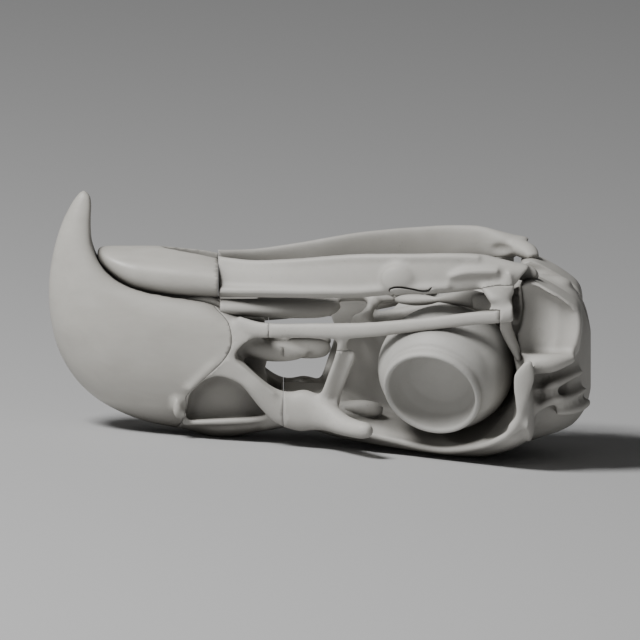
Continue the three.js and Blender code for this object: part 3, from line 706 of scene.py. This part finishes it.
def ear_cup():
    """The hollow of the ear: deep behind the quadrate and shallower along the rear rim."""
    mouth = slab(
        [
            (44.0, 40.2), (48.8, 40.9), (53.0, 38.9), (56.4, 36.9), (59.0, 34.2), (59.8, 31.4),
            (59.4, 28.2), (58.5, 25.2), (50.0, 24.9), (46.0, 25.6), (43.0, 30.0),
        ],
        -40, -10,
    )
    hollow = join(
        ball((50.4, -26.6, 32.0), (8.2, 6.4, 11.4)),
        ball((55.2, -27.4, 31.4), (6.2, 6.0, 11.6)),
        ball((45.2, -21.0, 35.5), (1.9, 9.0, 6.4)),
    )
    return cross(mouth, hollow)


def ear_shelf():
    return limb(
        [
            (47.6, -24.2, 21.6, 2.6, 1.4), (50.4, -24.9, 22.4, 2.6, 2.1), (54.0, -24.6, 22.8, 2.6, 2.1),
            (58.6, -22.6, 23.9, 1.8, 1.2),
        ],
        sides=28,
    )


def nape_ridges():
    upper = limb(
        [
            (50.8, -20.6, 15.2, 0.6, 0.6), (52.6, -22.4, 16.9, 1.1, 1.0), (54.6, -22.3, 17.7, 1.3, 1.2),
            (57.4, -19.6, 18.8, 1.2, 1.0), (60.4, -15.6, 19.6, 0.9, 0.8),
        ],
        sides=20,
    )
    middle = limb(
        [
            (49.4, -21.8, 10.8, 0.8, 0.7), (52.4, -22.2, 13.2, 1.1, 1.0), (55.6, -21.6, 13.8, 1.4, 1.0),
            (58.4, -18.8, 14.4, 1.2, 0.8), (61.4, -14.4, 15.4, 0.8, 0.6),
        ],
        sides=20,
    )
    lower = limb(
        [
            (54.6, -20.8, 10.8, 0.9, 0.7), (57.4, -19.2, 11.0, 1.6, 1.1), (60.0, -16.2, 11.4, 1.6, 1.2),
            (61.9, -12.0, 12.0, 1.1, 1.0),
        ],
        sides=20,
    )
    return [upper, middle, lower]


def eye_room(grow):
    return ball(EYE_CENTRE, [r + grow for r in EYE_RADII], detail=5)


def skull_core():
    """Muzzle, brow, jugal bars and cranium in one skin, so that the sutures between them are flush."""
    head = join(forehead(), hull(BRAINCASE, sides=44, upper=0.85, lower=0.85), *both(ear_wing()))
    head = cut(
        head,
        *both(ear_cup()),
        *both(ball((51.4, -26.4, 16.4), (3.6, 5.6, 5.6), lean=12)),
        *both(ball((57.4, -22.4, 16.4), (4.4, 4.0, 2.0), turn=24, roll=-14)),
        ball((61.8, 0, 31.6), (5.4, 4.2, 3.9)),
    )
    skull_base = [ball((54.2, 0, 37.6), (4.2, 5.4, 1.9)), ball((57.0, 0, 36.4), (1.9, 1.9, 1.7))]
    base_wing = limb(
        [(44.0, -2, 35.6, 1.2, 3.0), (43.6, -10, 36.6, 1.0, 3.2), (43.3, -17.4, 37.4, 0.9, 2.6)],
        sides=24,
    )
    head = join(head, *skull_base, *both(base_wing, ear_shelf(), *nape_ridges()))
    socket = [
        eye_room(SOCKET_SLACK),
        ball((30.8, -20.0, 18.0), (15.0, 16.0, 14.9)),
        ball((37.8, -26.0, 12.2), (8.6, 13.0, 8.0)),
    ]
    head = cut(head, *both(*socket))
    septum = slab(
        [
            (4.5, 9), (4.8, 18), (4.4, 23.0), (8, 26), (14, 30), (20, 31.4), (38, 34), (44, 32),
            (44, 10), (24, 6),
        ],
        -SEPTUM, SEPTUM,
    )
    rostrum = limb(
        [
            (4.4, 0, 23.4, 1.0, 1.4), (8, 0, 25.6, 1.7, 2.0), (13, 0, 29.0, 1.7, 1.9),
            (20, 0, 30.8, 1.7, 1.8), (34, 0, 34.0, 2.4, 1.8), (44, 0, 38.4, 6.5, 2.4),
        ],
    )
    vomer = slab(
        [(3.0, 29.4), (2.6, 34.2), (4.4, 35.6), (12.0, 35.4), (12.8, 32.0), (11.6, 27.4), (6, 25.6)],
        -VOMER, VOMER,
    )
    head = join(head, septum, rostrum, vomer, *both(*postorbital()))
    head = cut(head, *both(eye_room(RIM_SLACK)))

    muzzle = cut(
        muzzle_body(),
        hull(MOUTH, upper=0.4, lower=0.4),
        *both(slab(NOSTRIL, -24, -NASAL_WALL)),
        *both(slab(ANTORBITAL, -24, -WINDOW_WALL)),
        slab(ANTORBITAL_INSIDE, -6, 6),
        block((-9.5, -30, -5), (20, 30, 24)),
        block((-12.5, -30, 24), (20, 30, 60)),
        block((-12, -9.0, 9.4), (10, 9.0, 30)),
    )
    hump = ball((-3.6, -11.6, 13.2), (2.7, 2.0, 1.6), detail=3)
    core = join(
        head, muzzle, nasal_roof(),
        *both(brow(), hump, *pillar(), jugal_bar(), nostril_ledge(), *sheath_lumps(), *palate_lobes()),
    )
    core = fused(core)
    lobe = limb(
        [
            (2.6, -5.6, 9.4, 0.6, 0.9), (5.5, -6.4, 9.7, 1.9, 1.6), (9.5, -7.0, 9.7, 2.3, 2.0),
            (13.0, -7.2, 9.5, 1.9, 1.7), (14.7, -7.2, 9.3, 0.7, 0.7),
        ],
        sides=28,
    )
    return largest(cut(join(core, *both(lobe)), *both(eye_room(EYE_GAP))))


def behind_sheath(shift):
    outline = [(x + shift, z) for x, z in SHEATH_BACK]
    return slab([*outline, (20, 44), (20, -6), (-20, -6)], -20, 20)


def jugal_regions(grow=0):
    """The spaces of the right and left jugal bars, each with its foot on the lacrimal."""
    low = (JUGAL_FRONT_X + SEAM - grow, -40, 27.25 - grow)
    high = (JUGAL_BACK_X - SEAM + grow, -12.5 + grow, 38)
    foot = block((2, -40, PILLAR_TOP - grow), (9.5, -12.5 + grow, 28))
    return both(join(block(low, high), foot))


def lacrimal_regions(grow=0):
    """The spaces of both lacrimals, behind the nasal suture and outside the roof of the skull."""
    front = SUTURE_X + SEAM - grow
    inner = [(x, y + grow) for x, y in ((front, -9.7), (2, -11.2), (9, -14.2), (16, -20))]
    top = PILLAR_TOP - 2 * SEAM + grow
    return both(slab([*inner, (16, -40), (front, -40)], -10, top, finer=1, seen_from_below=True))


def face_region(grow=0):
    """The space of the face: before the suture, and round the palate leaves in the middle."""
    front = block((-40, -40, -10), (SUTURE_X - SEAM + grow, 40, 60))
    leaves = both(block((SUTURE_X - 1, -10.8 - grow, 19.6 - grow), (3.8 + grow, -2.0 + grow, 28)))
    return join(front, *leaves)


# ---- lower jaw ----
# One ramus: (x, half gap and z of its throat edge, half gap and z of its biting edge, thickness).
RAMUS = [
    (-27.0, 5.2, 45.9, 9.3, 36.2, 2.6),
    (-22.8, 6.4, 45.0, 10.2, 35.9, 2.6),
    (-18.2, 8.8, 44.7, 12.0, 36.0, 2.6),
    (-13.6, 10.8, 44.7, 13.6, 36.2, 2.6),
    (-4.4, 14.0, 45.6, 16.0, 36.4, 2.6),
    (2.5, 16.4, 46.5, 18.0, 36.7, 2.7),
    (9.5, 19.0, 47.3, 20.2, 37.1, 2.7),
    (18.7, 22.2, 47.8, 23.0, 38.3, 2.8),
    (24.0, 23.4, 48.0, 24.2, 38.4, 2.8),
    (30.2, 24.3, 48.2, 25.0, 38.9, 2.9),
    (37.1, 24.8, 48.0, 25.6, 39.8, 3.6),
    (41.7, 25.0, 46.9, 25.6, 40.0, 5.0),
    (45.2, 25.2, 46.0, 25.4, 40.8, 5.6),
    (47.6, 25.2, 45.6, 24.8, 40.8, 5.2),
    (48.6, 24.8, 44.8, 24.6, 40.8, 4.6),
    (49.4, 24.6, 43.0, 24.4, 40.8, 4.0),
    (50.3, 24.0, 41.8, 24.0, 41.0, 2.0),
]
SPOON = [
    (-51.1, 43.8, 45.6, 1.6), (-50.2, 42.4, 46.5, 3.6), (-47.6, 39.9, 46.7, 6.0), (-43.6, 37.4, 46.7, 7.9),
    (-39.0, 36.1, 46.7, 8.9), (-32.5, 35.2, 46.5, 9.9), (-26.3, 34.9, 46.1, 10.5), (-20.0, 34.8, 44.8, 11.4),
]


def ramus_plate():
    rings = []
    for i, (x, throat_y, throat_z, bite_y, bite_z, thick) in enumerate(RAMUS):
        throat = Vector((x, -throat_y, throat_z))
        bite = Vector((x, -bite_y, bite_z))
        before, after = RAMUS[max(i - 1, 0)], RAMUS[min(i + 1, len(RAMUS) - 1)]
        ahead = Vector((after[0] - before[0], before[3] - after[3], 0)).normalized()
        deep = (throat - bite) / 2
        across = ahead.cross(deep).normalized() * (thick / 2)
        rings.append(((throat + bite) / 2 + Vector((0, thick / 2, 0)), across, deep))
    return loft(rings, sides=36, finer=5, upper=0.75, lower=0.75)


def ramus_ridges():
    """Two low ridges along the outside of the ramus, near its throat edge and its biting edge."""
    throat = [(x, 0.75 - y, z - 1.0, 1.0, 1.0) for x, y, z, *_ in RAMUS[1:11]]
    bite = [(x, 0.85 - y, z + 1.7, 1.2, 1.0) for x, _, _, y, z, _ in RAMUS[1:10]]
    rear = [(30.0, -24.7, 42.8, 0.7, 0.7), (34.0, -25.2, 44.0, 1.0, 0.9), (41.5, -25.4, 44.2, 1.0, 0.9)]
    return [limb(throat, sides=20), limb(bite, sides=20), limb(rear, sides=16)]


def coronoid_slit():
    return limb(
        [
            (15.6, -23.6, 37.4, 1.5, 0.16), (15.9, -23.8, 39.3, 1.5, 0.2), (16.9, -24.0, 40.1, 1.5, 0.22),
            (18.7, -24.2, 40.3, 1.5, 0.24), (21.0, -24.5, 39.9, 1.6, 0.26), (23.3, -24.9, 39.5, 1.6, 0.3),
            (25.0, -25.2, 39.6, 1.6, 0.28), (25.8, -25.4, 40.4, 1.4, 0.16),
        ],
        sides=16,
    )


def jaw_side():
    """Ramus, quadrate and the end of the jugal bar in one skin."""
    jaw = join(
        ramus_plate(),
        *ramus_ridges(),
        ball((18.4, -22.6, 42.0), (4.2, 1.6, 3.6), turn=-6),
        limb(
            [
                (44.4, -23.4, 43.4, 2.6, 2.2), (46.4, -20.4, 43.3, 2.7, 2.1), (48.4, -17.8, 42.6, 2.4, 1.8),
                (49.6, -15.6, 41.6, 1.4, 1.0),
            ],
            sides=24,
        ),
    )
    jaw = cut(
        jaw,
        ball((24.9, -27.2, 41.2), (2.8, 1.9, 2.5)),
        ball((34.4, -28.8, 41.2), (6.0, 3.3, 2.3)),
        ball((40.7, -18.9, 43.0), (3.9, 2.3, 1.9)),
    )
    quadrate = join(
        limb(
            [
                (43.4, -24.2, 43.8, 2.2, 0.9), (41.3, -25.0, 40.0, 4.3, 1.6), (41.6, -25.5, 38.4, 3.4, 1.9),
                (42.3, -26.1, 37.0, 2.5, 2.0), (43.0, -26.8, 35.4, 2.0, 1.8), (43.2, -27.2, 33.7, 1.9, 1.3),
            ],
            sides=28,
        ),
        limb(
            [
                (42.6, -24.8, 36.6, 2.2, 2.2), (42.8, -23.4, 32.0, 1.6, 1.6), (44.0, -22.4, 28.4, 1.4, 1.5),
                (45.4, -22.0, 25.4, 1.2, 1.4), (46.4, -22.2, 23.0, 0.8, 1.0),
            ],
            sides=24,
        ),
        limb(
            [(43.0, -22.8, 36.6, 1.4, 2.2), (39.4, -20.9, 36.4, 0.9, 2.1), (35.4, -19.4, 36.3, 0.8, 1.9)],
            sides=24,
        ),
        jugal_bar(),
    )
    behind = slab(
        [
            (49.6, 46.4), (48.4, 44.8), (46.6, 42.9), (45.4, 41.0), (44.7, 38.0), (44.7, 35.0), (45.0, 32.6),
            (46.6, 31.4), (60, 31.0), (60, 46.4),
        ],
        -40, -19.4, finer=1,
    )
    return fused(cut(join(jaw, quadrate), behind), grid=FINE * 0.9)


def quadrate_space(grow=0):
    """The space of the right quadrate: behind the jugal bar and below the joint of the jaw."""
    outline = [
        (36.1 - grow, 39.3 + grow), (38, 40.5 + grow), (41, 41.0 + grow), (60, 41.0 + grow), (60, 20),
        (JUGAL_BACK_X + SEAM, 20), (JUGAL_BACK_X + SEAM, 35.7), (36.1 - grow, 35.7),
    ]
    inner = block((30, -24.8 - grow, 33), (60, -6, 38.2 + grow))
    return join(slab(outline, -40, -6, finer=1), inner)


def spoon():
    """The horn spoon at the front of the lower jaw, hollow towards mouth and throat."""
    body = cut(
        hull(SPOON, sides=44, upper=1.5, lower=0.6, egg=-0.12),
        hull(
            [
                (-36, 30, 60, 0.4), (-32.5, 30, 60, 2), (-27, 30, 60, 3.6), (-22.8, 30, 60, 4.6),
                (-14, 30, 60, 7.5),
            ],
            upper=0.4, lower=0.4,
        ),
        hull(
            [
                (-47, 36, 41, 2.5), (-42, 34, 40.5, 5.4), (-33, 31, 39.8, 7.2), (-24, 30, 39.6, 8.2),
                (-14, 30, 39.6, 9.6),
            ],
            upper=0.8, lower=0.4,
        ),
    )
    return cut(fused(body, grid=FINE * 0.9), block((LOWER_SHEATH_X, -30, 20), (10, 30, 60)))


# ---- palate and eye ----
def palatine():
    """A rounded bar beside the mid line, with a notch behind it and a narrow rear part in the middle."""
    bar = limb(
        [
            (-22.9, -8.4, 33.6, 2.6, 1.8), (-16, -8.4, 33.4, 3.0, 2.1), (-8, -8.5, 33.3, 3.3, 2.3),
            (-1, -8.5, 33.2, 3.3, 2.2), (2.6, -8.2, 33.5, 2.6, 1.9), (4.6, -7.4, 34.0, 1.2, 1.1),
        ],
        sides=32,
    )
    keel = limb(
        [
            (-14, -5.4, 34.6, 1.6, 1.2), (-4, -5.6, 35.0, 1.8, 1.6), (5, -5.4, 35.8, 1.6, 1.5),
            (10, -5.2, 35.9, 1.3, 1.4), (14, -4.8, 35.0, 1.1, 1.3), (17.2, -4.3, 34.5, 0.8, 0.9),
        ],
        sides=24,
    )
    rear = limb(
        [
            (10.4, -6.2, 28.8, 3.2, 1.2), (10.6, -6.6, 30.6, 2.9, 1.2), (11.6, -6.8, 32.6, 2.1, 1.2),
            (12.5, -6.8, 34.2, 1.6, 1.1), (12.9, -6.4, 35.8, 1.4, 1.0),
        ],
        sides=24,
    )
    strip = limb(
        [(12.2, -6.6, 35.2, 1.0, 1.0), (15.0, -5.8, 34.9, 0.9, 0.9), (17.2, -4.5, 34.6, 0.7, 0.7)],
        sides=20,
    )
    foot = limb(
        [(10.4, -6.2, 29.4, 1.6, 1.6), (10.4, -3.6, 28.4, 1.4, 1.4), (10.4, -1.4, 27.4, 1.2, 1.2)],
        sides=20,
    )
    return fused(join(bar, keel, rear, strip, foot), grid=FINE * 0.8, fillet=0.4)


def pterygoid():
    """A swollen spindle in front, then a waist, then the flared end at the quadrate."""
    spindle = limb(
        [
            (17.4, -4.2, 34.6, 0.4, 0.5), (19.4, -5.6, 34.9, 1.4, 1.1), (22.4, -7.8, 35.1, 1.7, 1.35),
            (25.4, -10.2, 35.4, 1.2, 1.1), (27.4, -11.8, 35.7, 0.6, 0.7), (29.4, -13.4, 36.1, 1.1, 1.1),
            (32.6, -15.8, 36.5, 1.3, 1.7), (35.4, -17.6, 36.8, 1.1, 2.1), (38.4, -19.2, 37.0, 0.8, 1.4),
        ],
        sides=28,
    )
    return fused(spindle, grid=FINE * 0.7, rounds=3, fillet=0.2)


def eye_ring():
    """A bulging capsule of bone plates with a raised lip round the iris, and a dished disc inside it."""
    neck = turned_shape(
        [(0, -9), (13.8, -6.6), (13.4, -4.4), (12.6, -2.7), (12.1, -2.0), (11.6, -1.7), (0, -1.7)],
        IRIS_AXIS, IRIS_CENTRE,
    )
    lip = turned_shape(
        [
            (0, -3), (11.3, -2.8), (11.7, -0.8), (11.65, 0.2), (11.3, 0.8), (10.8, 0.9), (10.4, 0.6),
            (10.1, -0.3), (0, -0.4),
        ],
        IRIS_AXIS, IRIS_CENTRE,
    )
    bowl = turned_shape(
        [
            (0, -8.0), (4.0, -7.6), (7.2, -6.2), (9.2, -3.9), (9.9, -2.2), (10.1, -1.2), (10.2, -0.4),
            (10.6, 9), (0, 9),
        ],
        IRIS_AXIS, IRIS_CENTRE,
    )
    capsule = fused(join(eye_room(0), neck), grid=FINE * 0.8, rounds=3, fillet=0.5)
    return fused(cut(join(capsule, lip), bowl), grid=FINE * 0.7, rounds=1, fillet=0.1)


# ---- the pieces ----
bone = dry_bone("dry bone", (0.56, 0.545, 0.51, 1), (0.47, 0.455, 0.42, 1))
horn = horn_sheath("dried horn", (0.53, 0.515, 0.475, 1), (0.44, 0.425, 0.39, 1))
eye_bone = dry_bone("thin eye bone", (0.57, 0.56, 0.53, 1), (0.49, 0.48, 0.45, 1), grain=0.6)


def finish_pair(body, name, node, material):
    """Finishes a right-hand piece and its twin on the left."""
    twin = mirrored(body)
    finish_piece(body, name + "_right", [node + "_right"], material)
    finish_piece(twin, name + "_left", [node + "_left"], material)


def parted(skin, regions):
    """Takes the pieces in both regions out of a skin. Gives the right one and the rest of the skin."""
    right_space, left_space = regions()
    discard(left_space)
    right_piece = largest(cross(copied(skin), right_space))
    return right_piece, cut(skin, *regions(2 * SEAM))


core = skull_core()
upper_beak = largest(cut(copied(core), behind_sheath(-SEAM), block((0, -40, -10), (80, 40, 60))))
core = largest(cross(core, join(behind_sheath(SEAM), block((-10, -40, -10), (80, 40, 60)))))
right_jugal, core = parted(core, jugal_regions)
right_lacrimal, core = parted(core, lacrimal_regions)
face = largest(cross(copied(core), face_region()))
cranium = largest(cut(core, face_region(2 * SEAM)))

side_skin = jaw_side()
skull_space = grown(cranium, SEAM)
jugal_space = grown(right_jugal, SEAM)
quadrate = largest(cut(cross(copied(side_skin), quadrate_space()), copied(skull_space)))
before_horn = block((LOWER_SHEATH_X - 40, -40, 20), (LOWER_SHEATH_X + 2 * SEAM, 0, 60))
jugal_end = join(block((-30, -40, 20), (28, 0, 34.0)), block((27.9, -40, 20), (60, 0, 36.8)))
ramus = cut(side_skin, before_horn, jugal_end, quadrate_space(2 * SEAM), skull_space, coronoid_slit())
ramus = largest(ramus)
right_pterygoid = largest(cut(pterygoid(), grown(quadrate, SEAM)))
lower_beak = largest(spoon())

finish_piece(upper_beak, "upper_beak_horn", ["upper_beak"], horn)
finish_piece(face, "face_bone", ["face"], bone)
finish_piece(cranium, "cranium_bone", ["cranium"], bone)
finish_piece(lower_beak, "lower_beak_horn", ["lower_beak"], horn)
finish_pair(right_lacrimal, "lacrimal_bone", "lacrimal", bone)
finish_pair(right_jugal, "jugal_bone", "jugal", bone)
finish_pair(quadrate, "quadrate_bone", "quadrate", bone)
finish_pair(ramus, "jaw_ramus_bone", "jaw_ramus", bone)
finish_pair(palatine(), "palatine_bone", "palatine", bone)
finish_pair(right_pterygoid, "pterygoid_bone", "pterygoid", bone)
finish_pair(cut(eye_ring(), jugal_space), "eye_ring_bone", "eye_ring", eye_bone)


# ---- stage, camera and light ----
def floor():
    bm = bmesh.new()
    bmesh.ops.create_grid(bm, x_segments=2, y_segments=2, size=3)
    made = as_object(bm, "table")
    finish = Finish("pale table")
    finish.set(Base_Color=(0.5, 0.5, 0.5, 1), Roughness=0.9)
    made.data.materials.append(finish.material)


def camera():
    """Level with the skull's own frame, eight degrees above its right side."""
    back = Vector((0, -math.cos(VIEW_ELEVATION), math.sin(VIEW_ELEVATION)))
    up = Vector((0, math.sin(VIEW_ELEVATION), math.cos(VIEW_ELEVATION)))
    turn = Matrix((Vector((1, 0, 0)), up, back)).transposed().to_4x4()
    data = bpy.data.cameras.new("camera")
    data.type = "ORTHO"
    data.ortho_scale = VIEW_WIDTH
    data.clip_start = 0.001
    made = bpy.data.objects.new("camera", data)
    place = METRES @ LYING @ Matrix.Translation(VIEW_CENTRE + back * VIEW_DISTANCE)
    made.matrix_world = Matrix.Translation(place.translation) @ Matrix.Rotation(REST_TILT, 4, "Y") @ turn
    bpy.context.scene.collection.objects.link(made)
    bpy.context.scene.camera = made


def lamp(name, place, size, power):
    data = bpy.data.lights.new(name, "AREA")
    data.shape = "DISK"
    data.size = size
    data.energy = power
    made = bpy.data.objects.new(name, data)
    made.location = place
    made.rotation_euler = (LIT_POINT - Vector(place)).to_track_quat("-Z", "Y").to_euler()
    bpy.context.scene.collection.objects.link(made)


floor()
camera()
lamp("key", (-0.6, -0.5, 0.95), 0.4, 18)
lamp("fill", (-0.62, -1.0, 0.12), 0.3, 0.9)
world = bpy.data.worlds.new("studio")
world.use_nodes = True
world.node_tree.nodes["Background"].inputs["Color"].default_value = (1, 1, 1, 1)
world.node_tree.nodes["Background"].inputs["Strength"].default_value = AMBIENT
bpy.context.scene.world = world
